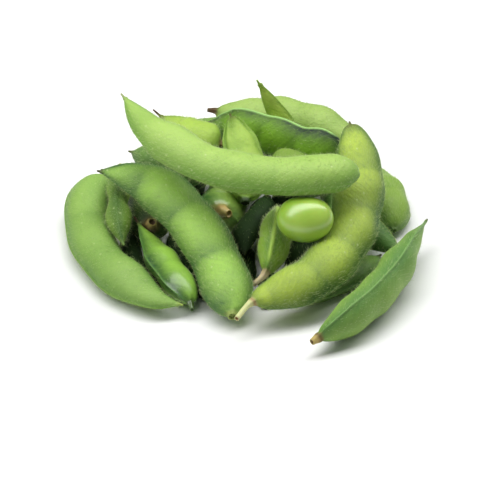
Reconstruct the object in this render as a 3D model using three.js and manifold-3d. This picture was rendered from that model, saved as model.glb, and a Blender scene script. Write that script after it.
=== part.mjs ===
// A bundle of green soybean pods (edamame): a loose heap of whole pods with one shelled bean
// on it. Millimetres, +Z up. The heap stands on z = 0, with the origin under its middle.
import * as THREE from 'three';
import { mergeVertices } from 'three/addons/utils/BufferGeometryUtils.js';
import Module from 'manifold-3d';

const wasm = await Module();
wasm.setup();

// ---- driving dimensions ----

const POD_WIDTH = 11.8;          // across the broad side, at a bean
const POD_THICKNESS = 9.1;       // through a bean
const STALK_RADIUS = 0.8;
const CALYX_RADIUS = 1.25;       // the swelling where the stalk meets the pod
const CALYX_REACH = 1.4;         // how far the swelling reaches either way
const AWN_RADIUS = 0.36;         // the dry point that a pod ends in
const EDGE_WAVE = 0.07;          // how much narrower a pod is between two beans
const FACE_WAVE = 0.09;          // how much thinner it is there
const BUMPY_WAVE = 0.18;         // the same on a pod whose beans stand out
const EDGE_TAPER = 1.6;          // how late the beak narrows: 1 is a straight taper
const FACE_TAPER = 1.15;         // how late the beak thins
const SEAM_HEIGHT = 0.4;         // the ridge along the seam that splits open
const BACK_SEAM_HEIGHT = 0.2;    // the ridge along the other edge
const SIDES = 10;                // flat faces round a pod
const RINGS_PER_BEAN = 4;
const SHOULDER_RINGS = [0.06, 0.2, 0.5];   // shares of the shoulder that have a ring
const BEAK_RINGS = [0.3, 0.6, 0.85];       // shares of the beak that have one

const BEAN_LENGTH = 14;
const BEAN_WIDTH = 11.6;
const BEAN_THICKNESS = 10;
const BEAN_HOLLOW = 0.5;         // the shallow hollow at the scar
const HOLLOW_SPREAD = 0.45;      // how far along the bean the hollow reaches
const BEAN_SIDES = 16;
const BEAN_RINGS = 11;

const TOUCH_GAP = 0.35;          // air left where two pieces touch
const PRESSED_FLAT = 0.35;       // how far a piece's underside is flattened on the table
const SEARCH = 12;               // gaps are measured up to this distance
const LIFT = 1;                  // a piece that overlaps one below it is lifted by this, and again
const SMALLEST_STEP = 0.03;      // a piece that would fall less than this has come to rest
const WELD_DISTANCE = 1e-4;      // corners closer than this are one corner

const LIGHT_GREEN = 0x9fc65c;
const YELLOW_GREEN = 0xb4d170;
const MID_GREEN = 0x84ae49;
const OLIVE_GREEN = 0x8fa138;
const DEEP_GREEN = 0x568438;
const BEAN_GREEN = 0xa8d060;
const MATTE = 0.6;
const GLOSSY = 0.3;

// ---- one pod ----

// A pod is a lens-shaped section carried along its centre line. path runs from the cut stalk
// to the tip of the awn, and face is the way its broad side looks. shoulder and beak are the
// shares of the body that widen from the calyx and narrow to the awn. wave is how much thinner it
// is between two beans, stem scales the thickness of the stalk, and bluntness is 1 on a pod that
// runs out in a point and more on a blunt one.
function pod(name, sizes) {
  const shape = {
    width: POD_WIDTH,
    thickness: POD_THICKNESS,
    beans: 3,
    stalk: 2.4,
    awn: 2.8,
    shoulder: 0.15,
    beak: 0.27,
    wave: FACE_WAVE,
    stem: 1,
    bluntness: 1,
    colour: MID_GREEN,
    roughness: MATTE,
    ...sizes,
  };
  return { name, skin: podSkin(shape), colour: shape.colour, roughness: shape.roughness };
}

// The lengths of a pod's stretches: its body, shoulder and beak, and the pitch of its beans.
function stretches(shape, length) {
  const body = length - shape.stalk - shape.awn;
  const shoulder = shape.shoulder * body;
  const beak = shape.beak * body;
  const pitch = (body - shoulder / 2 - beak / 2) / shape.beans;
  return { body, shoulder, beak, pitch };
}

// The half width and half thickness of the section at a distance s along the pod.
function section(shape, length, s) {
  const { body, shoulder, beak, pitch } = stretches(shape, length);
  const fromCalyx = s - shape.stalk;
  const fromAwn = length - shape.awn - s;
  const calyx = (CALYX_RADIUS - STALK_RADIUS) * Math.exp(-((fromCalyx / CALYX_REACH) ** 2));
  const stem = fromCalyx < body / 2 ? shape.stem * (STALK_RADIUS + calyx) : AWN_RADIUS;
  if (fromCalyx <= 0 || fromAwn <= 0) {
    return { wide: stem, thick: stem };
  }
  const rise = Math.sqrt(1 - (1 - Math.min(fromCalyx / shoulder, 1)) ** 2);
  const toTip = 1 - Math.min(fromAwn / beak, 1);
  const between = 0.5 + 0.5 * Math.cos(2 * Math.PI * (fromCalyx - shoulder / 4) / pitch);
  const point = (1 - toTip ** EDGE_TAPER) ** (1 / shape.bluntness);
  const wide = shape.width / 2 * rise * point * (1 - EDGE_WAVE * between);
  const thick = shape.thickness / 2 * rise * (1 - toTip ** FACE_TAPER) * (1 - shape.wave * between);
  return { wide: Math.max(wide, stem), thick: Math.max(thick, stem) };
}

// Distances along the pod at which a ring of points is set: close together where it bends
// in quickly, and RINGS_PER_BEAN to a bean between.
function ringPlaces(shape, length) {
  const { shoulder, beak, pitch } = stretches(shape, length);
  const bodyStart = shape.stalk + shoulder;
  const bodyEnd = length - shape.awn - beak;
  const count = Math.max(2, Math.round((bodyEnd - bodyStart) / pitch * RINGS_PER_BEAN));
  const places = [0, shape.stalk];
  if (shape.stalk > 2 * CALYX_REACH) {
    places.splice(1, 0, shape.stalk - CALYX_REACH);
  }
  for (const share of SHOULDER_RINGS) {
    places.push(shape.stalk + share * shoulder);
  }
  for (let i = 0; i <= count; i += 1) {
    places.push(bodyStart + (bodyEnd - bodyStart) * i / count);
  }
  for (const share of BEAK_RINGS) {
    places.push(bodyEnd + share * beak);
  }
  places.push(length - shape.awn, length);
  return places;
}

// Joins rings of points, and a point at either end, into one closed surface.
function closedSkin(rings, first, last) {
  const sides = rings[0].length;
  const positions = [first, ...rings.flat(), last].flatMap((p) => [p.x, p.y, p.z]);
  const index = [];
  const at = (ring, side) => 1 + ring * sides + side % sides;
  const end = 1 + rings.length * sides;
  for (let side = 0; side < sides; side += 1) {
    index.push(0, at(0, side), at(0, side + 1));
    for (let ring = 0; ring < rings.length - 1; ring += 1) {
      index.push(at(ring, side), at(ring + 1, side + 1), at(ring, side + 1));
      index.push(at(ring, side), at(ring + 1, side), at(ring + 1, side + 1));
    }
    index.push(end, at(rings.length - 1, side + 1), at(rings.length - 1, side));
  }
  const geometry = new THREE.BufferGeometry();
  geometry.setAttribute('position', new THREE.Float32BufferAttribute(positions, 3));
  geometry.setIndex(index);
  return geometry;
}

function podSkin(shape) {
  const points = shape.path.map(([x, y, z]) => new THREE.Vector3(x, y, z));
  const line = new THREE.CatmullRomCurve3(points, false, 'catmullrom', 0.5);
  const length = line.getLength();
  const face = new THREE.Vector3(...shape.face);
  const rings = ringPlaces(shape, length).map((s) => {
    const centre = line.getPointAt(s / length);
    const along = line.getTangentAt(s / length);
    const out = face.clone().addScaledVector(along, -face.dot(along)).normalize();
    const across = new THREE.Vector3().crossVectors(along, out);
    const { wide, thick } = section(shape, length, s);
    const onBody = s > shape.stalk && s < length - shape.awn;
    return Array.from({ length: SIDES }, (_, side) => {
      const angle = 2 * Math.PI * side / SIDES;
      const ridge = side === 0 ? SEAM_HEIGHT : side * 2 === SIDES ? BACK_SEAM_HEIGHT : 0;
      const reach = wide + (onBody ? ridge : 0);
      return centre.clone()
        .addScaledVector(across, reach * Math.cos(angle))
        .addScaledVector(out, thick * Math.sin(angle));
    });
  });
  return closedSkin(rings, line.getPointAt(0), line.getPointAt(1));
}

// ---- the loose bean ----

// An egg-shaped bean with a shallow hollow on the side of its scar. long is the way its long
// axis points, and face is the way its upper side looks.
function bean(name, { centre, long, face, colour, roughness }) {
  const along = new THREE.Vector3(...long).normalize();
  const side = new THREE.Vector3(...face);
  const out = side.addScaledVector(along, -side.dot(along)).normalize();
  const across = new THREE.Vector3().crossVectors(along, out);
  const middle = new THREE.Vector3(...centre);
  const point = (turn, angle) => {
    const hollow = BEAN_HOLLOW * Math.exp(-((Math.cos(turn) / HOLLOW_SPREAD) ** 2));
    const wide = BEAN_WIDTH / 2 * Math.sin(turn) * Math.cos(angle);
    return middle.clone()
      .addScaledVector(along, BEAN_LENGTH / 2 * Math.cos(turn))
      .addScaledVector(across, wide + hollow * Math.min(0, Math.cos(angle)) ** 2)
      .addScaledVector(out, BEAN_THICKNESS / 2 * Math.sin(turn) * Math.sin(angle));
  };
  const rings = [];
  for (let ring = 1; ring <= BEAN_RINGS; ring += 1) {
    const turn = Math.PI * (1 - ring / (BEAN_RINGS + 1));
    const round = (_, side) => point(turn, 2 * Math.PI * side / BEAN_SIDES);
    rings.push(Array.from({ length: BEAN_SIDES }, round));
  }
  return { name, skin: closedSkin(rings, point(Math.PI, 0), point(0, 0)), colour, roughness };
}

// ---- the heap, in the order in which its pieces are laid, from the table up ----

const HEAP = [
  pod('pod_base_middle', {
    path: [[-2.2, -19.5, 2.5], [-1.1, -12, 2.5], [-1.5, -4, 2.5], [0, 4, 2]],
    face: [0, 0, 1],
    beans: 2, width: 8.2, thickness: 4.8, colour: DEEP_GREEN,
  }),
  pod('pod_base_right', {
    path: [[9.5, -22.5, 3.5], [18, -20.5, 3.5], [26.5, -14.5, 3.5], [34, -5.5, 3]],
    face: [0, 0, 1],
    beans: 2, width: 9.5, thickness: 6.6, awn: 0.9, colour: DEEP_GREEN,
  }),
  pod('pod_base_left', {
    path: [[-19.8, -21.5, 2], [-24.4, -13.7, 2], [-27.2, -5.5, 2], [-28.2, 2, 2], [-28.5, 9, 2]],
    face: [0, 0, 1],
    beans: 2, width: 4.8, thickness: 3, stalk: 0.9, awn: 0.9, colour: DEEP_GREEN,
  }),
  pod('pod_base_front_left', {
    path: [[-7.5, -24, 2], [-10.5, -15, 2], [-13.7, -7, 2], [-16.5, 0, 2], [-18.2, 6.5, 2]],
    face: [0, 0, 1],
    beans: 2, width: 5.7, thickness: 3.2, stalk: 0.9, awn: 0.9, colour: DEEP_GREEN,
  }),
  pod('pod_base_front', {
    path: [[5.4, -26, 2], [5.9, -21.5, 2], [6.4, -15.5, 2], [6.6, -10, 2]],
    face: [0, 0, 1],
    beans: 2, width: 5, thickness: 3, stalk: 0.9, awn: 0.9, colour: DEEP_GREEN,
  }),
  pod('pod_base_middle_right', {
    path: [[14, -15, 3], [15, -6.5, 3], [15, 1, 3], [15.5, 7.5, 3]],
    face: [0, 0, 1],
    beans: 2, width: 8.5, thickness: 6.1, stalk: 0.9, awn: 0.9, colour: DEEP_GREEN,
  }),
  pod('pod_base_middle_small', {
    path: [[5.5, -6.5, 2.5], [6.5, 0, 2.5], [6, 7.5, 2.5], [5.5, 15, 2.5]],
    face: [0, 0, 1],
    beans: 2, width: 6.2, thickness: 4.8, stalk: 0.9, awn: 0.9, beak: 0.35, colour: DEEP_GREEN,
  }),
  pod('pod_left_under', {
    path: [
      [-22.3, 0.9, 8.3], [-22.8, 2.2, 6.4], [-22.8, 6, 5], [-23.7, 14, 5], [-24.3, 23, 5],
      [-23.5, 34, 5],
    ],
    face: [-0.3, 0, 1],
    beans: 2, width: 10.8, stem: 1.3, stalk: 2, shoulder: 0.1, colour: DEEP_GREEN,
  }),
  pod('pod_base_left_back', {
    path: [[-14, 13.5, 5], [-13.6, 21, 5], [-12.2, 28.5, 5], [-11.6, 36, 5]],
    face: [0, 0, 1],
    beans: 2, width: 7.4, colour: DEEP_GREEN,
  }),
  pod('pod_middle_end_on', {
    path: [
      [-3.4, 2.4, 9.6], [-5.2, 4.6, 9], [-5.2, 8.5, 6.4], [-3.4, 15, 5.6], [-1.3, 24.5, 5], [-1, 33, 5],
    ],
    face: [0.5, 0, 1],
    beans: 2, width: 12.2, thickness: 10, stem: 1.3, stalk: 2.8, colour: DEEP_GREEN, roughness: GLOSSY,
  }),
  pod('pod_base_right_back', {
    path: [[11, 10.5, 5], [12.5, 19, 5], [12, 26.5, 5], [11, 33, 5]],
    face: [0, 0, 1],
    beans: 2, width: 9.9, colour: DEEP_GREEN,
  }),
  pod('pod_right_low', {
    path: [
      [23.5, 30.5, 5], [24, 21, 5], [24, 11, 5], [26, 4, 5.6], [31, -0.8, 6.3], [36, -4.5, 5.2],
      [39.5, -6.5, 4],
    ],
    face: [0, 0.4, -0.9],
    width: 9.6, awn: 0.9, colour: DEEP_GREEN,
  }),
  pod('pod_right_back', {
    path: [[37.5, 4.5, 4], [36.5, 12.5, 5.5], [35, 21.5, 5.5], [32.5, 30, 5.5], [30.5, 36, 5.5]],
    face: [0.4, -0.2, 1],
    beans: 2, width: 10.4, stalk: 0.5, stem: 0.6, shoulder: 0.3, beak: 0.5, colour: MID_GREEN,
  }),
  pod('pod_base_back', {
    path: [[-21, 42, 4], [-9.5, 47.5, 4], [4, 49.5, 4], [17, 47, 4], [28.5, 42, 4]],
    face: [0, 0, 1],
    thickness: 7.4, colour: DEEP_GREEN,
  }),
  pod('pod_front_right', {
    path: [
      [16.5, -45.8, 3.2], [20.3, -42.8, 4], [25.6, -37.6, 4.7], [31.6, -29.6, 5.3], [36.6, -20.1, 5.8],
      [40.6, -8.9, 6], [45.4, 3.2, 6],
    ],
    face: [-0.72, 0.59, 0.33],
    awn: 0.9, shoulder: 0.3, beak: 0.4, colour: MID_GREEN,
  }),
  pod('pod_left_curved', {
    path: [
      [-33.5, 22.5, 8.5], [-37.5, 16, 6.5], [-38.5, 6.5, 5.5], [-37, -3, 5], [-33.5, -12.5, 5],
      [-28, -20.5, 5], [-21.5, -27.5, 5], [-14.5, -29.5, 4.5],
    ],
    face: [0, -0.3, 0.9],
    width: 11.2, awn: 0.9, stalk: 1.4, colour: LIGHT_GREEN,
  }),
  pod('pod_front_glossy', {
    path: [
      [-12.2, -30.6, 3], [-13.4, -26, 4], [-15.8, -21, 4.6], [-18.8, -15, 5], [-21.8, -7, 5.5],
      [-26.8, 3, 7.8],
    ],
    face: [-0.4, -0.1, -0.9],
    beans: 2, width: 8.9, thickness: 7.8, stem: 0.6, shoulder: 0.3, beak: 0.45,
    colour: DEEP_GREEN, roughness: GLOSSY,
  }),
  pod('pod_left_inner', {
    path: [[-30.5, 21, 9.5], [-30.5, 12, 9], [-30.7, 4, 8.5], [-30.2, -4, 7.5], [-29.2, -10, 6.5]],
    face: [-1, -0.1, -0.2],
    beans: 2, width: 5.6, thickness: 6.6, wave: 0.3, awn: 0.6, beak: 0.2, colour: MID_GREEN,
  }),
  pod('pod_middle_small', {
    path: [
      [2.5, -21.5, 3], [5.5, -19.5, 5], [7, -15, 7], [8, -9, 8.5], [8.5, -3, 7.5],
      [8.5, 4.5, 5.5],
    ],
    face: [-1, 0, 0],
    beans: 2, width: 10.4, thickness: 8.2, stalk: 4.4, stem: 0.85, awn: 0.9, shoulder: 0.45,
    colour: MID_GREEN,
  }),
  pod('pod_inner_middle', {
    path: [[6, 13, 7], [4.8, 7, 7], [1.8, 1, 7], [0.3, -5, 7.2], [0.5, -12.5, 7]],
    face: [0, 0, 1],
    beans: 2, width: 6, thickness: 5, stalk: 0.9, awn: 0.9, colour: DEEP_GREEN,
  }),
  pod('pod_back_middle', {
    path: [[6.5, 19.5, 14.5], [11.5, 16.8, 15], [17, 12, 13.5], [21.5, 8, 13]],
    face: [0, 0, 1],
    beans: 1, width: 9.7, thickness: 9.1, stalk: 0.9, awn: 0.9, colour: YELLOW_GREEN,
  }),
  pod('pod_left_tip', {
    path: [[-7, 13.5, 14], [-13, 16.5, 14], [-20.5, 20, 14], [-28.5, 24, 14]],
    face: [0, 0, 1],
    beans: 2, width: 10.4, awn: 0.9, colour: MID_GREEN,
  }),
  pod('pod_front_left', {
    path: [
      [-2.5, -35, 5], [-3, -31, 5.5], [-4.5, -23.5, 7.5], [-8, -14, 10.5], [-12.5, -6.5, 13.5],
      [-20, 3, 16], [-27.5, 6.5, 18], [-36, 8, 19],
    ],
    face: [0, -0.55, 0.85],
    width: 12.3, wave: BUMPY_WAVE, stalk: 0.9, awn: 0.9, colour: MID_GREEN,
  }),
  pod('pod_back_left', {
    path: [
      [-5, 29.5, 11.5], [-8, 30, 12], [-12.5, 31.5, 12], [-14.5, 33.5, 12], [-16.5, 35, 12.5],
      [-19.5, 36, 14.5], [-22.5, 37, 17],
    ],
    face: [0, -0.3, 0.9],
    beans: 1, width: 10.2, thickness: 9.2, stalk: 0.8, stem: 0.8, beak: 0.42,
    colour: YELLOW_GREEN,
  }),
  pod('pod_back_on_edge', {
    path: [
      [26, 21.3, 15.2], [21.3, 22.9, 14.6], [16.5, 24.5, 14], [12, 27.5, 14], [7.5, 30, 14],
      [2.5, 32.5, 14], [-2.5, 35.5, 12.5], [-6, 38.5, 11.5], [-10, 40, 11.5],
    ],
    face: [-0.5, -0.9, 0],
    width: 11.8, thickness: 7.6, stalk: 0.9, awn: 0.9, colour: DEEP_GREEN,
  }),
  pod('pod_rearmost', {
    path: [
      [-9, 46, 12], [-7, 45.5, 12], [-4, 45, 11.5], [0, 45, 11], [5, 45, 11], [9, 45.5, 11],
      [14, 43.5, 11], [19, 41, 11], [24.5, 37.5, 10.5], [31.5, 32.5, 10],
    ],
    face: [0, -0.3, 0.9],
    width: 10.1, thickness: 8.4, shoulder: 0.3, stem: 0.65, colour: LIGHT_GREEN,
  }),
  pod('pod_right_long', {
    path: [
      [-1.5, -40, 7], [2, -34, 7.5], [8.5, -30.5, 8], [16.5, -26.5, 9.5], [22, -20, 11],
      [26, -12, 13], [28, -2.5, 15.5], [28.5, 5, 19], [27.6, 13, 23], [26.3, 17.8, 26.3],
    ],
    face: [0, -0.4, 0.9],
    beans: 4, width: 12.3, wave: BUMPY_WAVE, stalk: 7.6, stem: 0.85, awn: 0.8, shoulder: 0.27,
    beak: 0.28, bluntness: 2.2, colour: LIGHT_GREEN,
  }),
  pod('pod_back_upright', {
    path: [
      [12.5, 35.5, 0], [12.5, 35.5, 6], [11.5, 35.5, 10.5], [10, 35.5, 14], [8.5, 35.5, 17.5],
      [6, 35.5, 22.5], [3.5, 35.5, 27.5],
    ],
    face: [0, -1, 0.1],
    beans: 2, width: 5.6, thickness: 3.6, stalk: 0.8, beak: 0.5, awn: 1.4, colour: OLIVE_GREEN,
  }),
  pod('pod_back_folded', {
    path: [
      [0.5, 6.5, 10.5], [0.4, 10, 12.2], [0.5, 14, 14.6], [0, 18.5, 17.8], [-1.6, 22.5, 21.5],
      [-3.3, 25.3, 24.8],
    ],
    face: [0.4, -0.8, 0.5],
    beans: 2, width: 11.4, thickness: 6, stalk: 0.9, awn: 0.9, shoulder: 0.3, beak: 0.62,
    bluntness: 1.8,
    colour: YELLOW_GREEN,
  }),
  bean('loose_bean', {
    centre: [15.1, -14.6, 16.5],
    long: [1, -0.1, 0.05],
    face: [0, -0.8, 0.55],
    colour: BEAN_GREEN, roughness: GLOSSY,
  }),
  pod('pod_top', {
    path: [
      [27.3, -5, 22.4], [25.8, -5.9, 24.4], [19.5, -7.5, 25], [10, -8.5, 25], [0.5, -7, 25],
      [-9, -3.5, 25.5], [-17, 3, 26.5], [-23.5, 9, 28.3], [-30, 19, 31.3],
    ],
    face: [0, -0.12, 1],
    width: 11.4, stalk: 0.8, awn: 1.6, stem: 0.6, shoulder: 0.09, colour: LIGHT_GREEN,
  }),
];

// ---- laying the heap ----

function solidOf(geometry) {
  const bare = mergeVertices(geometry, WELD_DISTANCE);
  const vertProperties = new Float32Array(bare.attributes.position.array);
  const triVerts = new Uint32Array(bare.index.array);
  return new wasm.Manifold(new wasm.Mesh({ numProp: 3, vertProperties, triVerts }));
}

function geometryOf(solid) {
  const mesh = solid.getMesh();
  const geometry = new THREE.BufferGeometry();
  geometry.setAttribute('position', new THREE.BufferAttribute(mesh.vertProperties, 3));
  geometry.setIndex(new THREE.BufferAttribute(mesh.triVerts, 1));
  return geometry;
}

function freeAir(solid, laid) {
  return Math.min(SEARCH, ...laid.map((other) => solid.minGap(other, SEARCH)));
}

// Lifts a piece clear of those already laid, then lets it straight down until it touches
// one of them, or until the table presses its underside flat.
function settle(solid, laid) {
  let piece = solid;
  while (freeAir(piece, laid) <= TOUCH_GAP) {
    piece = piece.translate([0, 0, LIFT]);
  }
  for (;;) {
    const toTable = piece.boundingBox().min[2] + PRESSED_FLAT;
    const step = Math.min(freeAir(piece, laid) - TOUCH_GAP, toTable);
    if (step < SMALLEST_STEP) {
      return piece.trimByPlane([0, 0, 1], 0);
    }
    piece = piece.translate([0, 0, -step]);
  }
}

// A mesh whose place is the middle of its underside.
function meshOf(piece, solid) {
  const { min, max } = solid.boundingBox();
  const place = new THREE.Vector3((min[0] + max[0]) / 2, (min[1] + max[1]) / 2, min[2]);
  const geometry = geometryOf(solid.translate([-place.x, -place.y, -place.z]));
  const { colour, roughness } = piece;
  const material = new THREE.MeshStandardMaterial({ color: colour, roughness, metalness: 0 });
  const mesh = new THREE.Mesh(geometry, material);
  mesh.name = piece.name;
  mesh.position.copy(place);
  return mesh;
}

const heap = new THREE.Group();
const laid = [];
for (const piece of HEAP) {
  const solid = settle(solidOf(piece.skin), laid);
  laid.push(solid);
  heap.add(meshOf(piece, solid));
}

const middle = new THREE.Box3().setFromObject(heap).getCenter(new THREE.Vector3());
heap.position.set(-middle.x, -middle.y, 0);

const bundle = new THREE.Group();
bundle.add(heap);

export default bundle;
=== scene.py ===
import bpy
import numpy as np
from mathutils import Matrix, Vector


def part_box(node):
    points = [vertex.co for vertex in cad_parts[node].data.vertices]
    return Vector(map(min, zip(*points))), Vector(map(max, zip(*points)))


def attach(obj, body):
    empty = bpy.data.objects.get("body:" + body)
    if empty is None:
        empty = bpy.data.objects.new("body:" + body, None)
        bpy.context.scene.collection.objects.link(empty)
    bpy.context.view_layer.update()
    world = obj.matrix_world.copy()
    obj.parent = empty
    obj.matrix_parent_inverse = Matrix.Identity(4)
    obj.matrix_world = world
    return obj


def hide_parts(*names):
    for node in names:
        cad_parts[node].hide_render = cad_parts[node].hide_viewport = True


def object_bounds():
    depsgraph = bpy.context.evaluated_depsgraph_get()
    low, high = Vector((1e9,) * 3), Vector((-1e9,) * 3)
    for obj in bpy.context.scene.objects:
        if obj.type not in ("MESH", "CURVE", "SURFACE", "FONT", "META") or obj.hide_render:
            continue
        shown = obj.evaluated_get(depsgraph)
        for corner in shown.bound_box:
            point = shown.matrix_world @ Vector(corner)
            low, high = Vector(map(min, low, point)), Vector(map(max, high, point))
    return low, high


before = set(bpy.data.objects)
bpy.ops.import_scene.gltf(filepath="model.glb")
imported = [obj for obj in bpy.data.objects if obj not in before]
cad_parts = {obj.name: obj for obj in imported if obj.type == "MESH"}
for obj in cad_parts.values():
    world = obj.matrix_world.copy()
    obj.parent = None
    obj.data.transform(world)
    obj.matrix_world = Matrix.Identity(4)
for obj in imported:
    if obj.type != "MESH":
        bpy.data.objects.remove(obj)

# A loose heap of green soybean pods (edamame) with one shelled bean on it, lying on a pale
# table. Places and sizes are in millimetres, and each mesh is written in metres.
MM = 0.001
cad_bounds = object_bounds()
BOX_LOW, BOX_HIGH = (np.array(corner) / MM for corner in cad_bounds)


# ---- the lowest pods, half hidden ----
# Young pods at the bottom of the heap, which carry the others. Each pod is one hollow fruit
# wall, grown closed round its beans: a lens-shaped section carried along a bent centre line,
# from the cut stalk, over the beans, to the dry awn. The table presses the lowest ones flat.

STALK_RADIUS = 0.8
CALYX_RADIUS = 1.25       # the swelling where the stalk meets the pod
CALYX_REACH = 1.4
CALYX_LOBES = 5           # the scars of the sepals round that swelling
LOBE_DEPTH = 0.1
AWN_RADIUS = 0.36
AWN_POINT = 0.6           # the awn's tip, as a share of its radius
EDGE_WAVE = 0.07          # how much narrower a pod is between two beans
FACE_WAVE = 0.09          # how much thinner it is there
BUMPY_WAVE = 0.18         # the same on a pod whose beans stand out
EDGE_TAPER = 1.6          # how late the beak narrows and thins: 1 is a straight taper
FACE_TAPER = 1.15
SEAM_HEIGHT = 0.4         # the ridge along the seam that splits open, and along the other edge
BACK_SEAM_HEIGHT = 0.2
SEAM_SPREAD = 0.5         # half the width of that ridge
LENS = 0.1                # how much flatter the two walls run in to the seams than an ellipse
LUMP_HEIGHT = 0.11        # the uneven swelling of the wall
LUMP_LENGTHS = (4.5, 14)  # shortest and longest distance from one lump to the next
LUMP_WAVES = 9            # sine waves that are added up to make the lumps
LUMP_GAIN = 2.2           # makes up for how much these cancel out
PLEAT_HEIGHT = 0.32
PLEAT_REACH = 13          # how far pleats run from the awn before they fade
CURVE_STEPS = 300         # samples in each span of a centre line
RING_GAP = 0.5            # distance between rings of points along the skin
SIDES = 56                # points in a ring
SEAM_CROWD = 0.34         # how far these are drawn together at the seams
SOLID_SIDES = 10          # points in a ring of the solid that the skin replaces
SOLID_RINGS = 4           # rings to a bean there
SHOULDER_RINGS = (0.06, 0.2, 0.5)
BEAK_RINGS = (0.3, 0.6, 0.85)
CREASE_AFTER = 0.3        # how far the painted shade of a crease between two beans reaches past it, and before it, as shares of the beans' pitch
CREASE_BEFORE = 0.07      # and before it, as shares of the beans' pitch
CREASE_EVEN = 0.6         # the share of that painted shade which is the same all round the pod

# The cut end of the stalk is dished: the depth of each ring of points in it, from the middle
# outwards, and its share of the stalk's radius.
CUT_RINGS = ((0.5, 0.3), (0.42, 0.55), (0.06, 0.7), (0.0, 0.93))


def centre_line(path):
    """Points along a pod's middle, and the distance of each along it. In each span the point is
    the uniform Catmull-Rom cubic, whose slope at a given point is half the step between its two
    neighbours. Past either end stands one more point, as far out as the next is in."""
    p = np.array(path, float)
    p = np.vstack((2 * p[0] - p[1], p, 2 * p[-1] - p[-2]))
    before, start, end, after = (p[i:len(p) - 3 + i, None] for i in range(4))
    t = np.linspace(0, 1, CURVE_STEPS, endpoint=False)[None, :, None]
    spans = 0.5 * (
        2 * start + (end - before) * t
        + (2 * before - 5 * start + 4 * end - after) * t ** 2
        + (3 * start - before - 3 * end + after) * t ** 3
    )
    points = np.vstack((spans.reshape(-1, 3), p[-2]))
    steps = np.linalg.norm(np.diff(points, axis=0), axis=1)
    return points, np.concatenate(([0], np.cumsum(steps)))


def unit(v):
    """Vectors along the last axis, each divided by its length."""
    return v / np.linalg.norm(v, axis=-1, keepdims=True)


def stretches(pod, length):
    """The lengths of a pod's body, shoulder and beak, and the pitch of its beans."""
    body = length - pod["stalk"] - pod["awn"]
    shoulder, beak = pod["shoulder"] * body, pod["beak"] * body
    return body, shoulder, beak, (body - shoulder / 2 - beak / 2) / pod["beans"]


def section(pod, length, s):
    """Half width and half thickness at the distances s. On the body both follow a quarter
    circle up the shoulder, a wave over the beans and a power of the distance down the beak,
    whose root makes a blunt one. The stalk swells by a bell curve at the calyx."""
    body, shoulder, beak, pitch = stretches(pod, length)
    past_calyx, to_awn = s - pod["stalk"], length - pod["awn"] - s
    swelling = (CALYX_RADIUS - STALK_RADIUS) * np.exp(-(past_calyx / CALYX_REACH) ** 2)
    point = 1 - (1 - AWN_POINT) * np.clip(-to_awn / pod["awn"], 0, 1)
    stem = pod["stem"] * (STALK_RADIUS + swelling)
    stem = np.where(past_calyx < body / 2, stem, AWN_RADIUS * point)
    rise = np.sqrt(1 - (1 - np.clip(past_calyx / shoulder, 0, 1)) ** 2)
    to_tip = 1 - np.clip(to_awn / beak, 0, 1)
    between = 0.5 + 0.5 * np.cos(2 * np.pi * (past_calyx - shoulder / 4) / pitch)
    narrowing = (1 - to_tip ** EDGE_TAPER) ** (1 / pod["bluntness"])
    wide = pod["width"] / 2 * rise * narrowing * (1 - EDGE_WAVE * between)
    thick = pod["thickness"] / 2 * rise * (1 - to_tip ** FACE_TAPER) * (1 - pod["wave"] * between)
    return np.maximum(wide, stem), np.maximum(thick, stem)


def skin_points(pod, s, turn, cut=1.0):
    """A ring of points at each distance s and each angle turn round the centre line: across it
    by half width x cos(turn) and out by half thickness x sin(turn), less a little beside the
    seams. A bell-shaped ridge stands at either seam. cut scales the rings of the cut end.

    The third result holds the marks kept at each point. Of these, the mark for the bulge and its
    shading is 1 over a bean, where the skin is lighter. It falls to 0 at the seams, the pod's own
    darker edge and painted shade along it, and dips at each crease between two beans, painted
    shade in the creases, most towards one seam. The dip fades quickly towards the stalk and
    slowly towards the awn."""
    points, distance = centre_line(pod["path"])
    length = distance[-1]
    centre, along = (
        np.column_stack([np.interp(s, distance, axis) for axis in values.T])
        for values in (points, np.gradient(points, distance, axis=0))
    )
    along = unit(along)
    face = np.array(pod["face"], float)
    out = unit(face - along * (along @ face)[:, None])
    across = np.cross(along, out)
    wide, thick = (v[:, None] for v in section(pod, length, s))
    past_calyx, to_awn = (s - pod["stalk"])[:, None], (length - pod["awn"] - s)[:, None]
    off_seam = np.exp(-(wide * np.sin(turn) / (SEAM_SPREAD * pod["ridge"])) ** 2)
    front, back = np.cos(turn) > 0, np.cos(turn) < 0
    ridge = off_seam * (SEAM_HEIGHT * front - BACK_SEAM_HEIGHT * back)
    ridge = ridge * ((past_calyx > 0) & (to_awn > 0))
    width_way = (wide * np.cos(turn) + ridge) * cut
    thick_way = thick * np.sin(turn) * (1 - LENS * np.cos(turn) ** 4) * cut
    grid = (
        centre[:, None]
        + across[:, None] * width_way[..., None]
        + out[:, None] * thick_way[..., None]
    )
    _, shoulder, _, pitch = stretches(pod, length)
    past_crease = (past_calyx - shoulder / 4) / pitch % 1
    # Painted shade: each crease between two beans darkens the colour, more towards one seam than
    # the other, and the colour darkens towards both seams.
    crease_shade_mask = np.maximum(
        np.exp(-past_crease / CREASE_AFTER), np.exp((past_crease - 1) / CREASE_BEFORE))
    crease_shade_mask = crease_shade_mask * (CREASE_EVEN + (1 - CREASE_EVEN) * pod["shading_side"] * np.cos(turn))
    bulge_and_shading = (1 - pod["crease_shading"] * crease_shade_mask) * (1 - np.abs(np.cos(turn)) ** 3)
    marks = {"seam": off_seam, "front": front * 1.0, "bulge_and_shading": bulge_and_shading,
             "past_calyx": past_calyx, "to_awn": to_awn, "cut": 1 - cut}
    return grid, along, {key: np.broadcast_to(v, grid.shape[:2]) for key, v in marks.items()}


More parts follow.
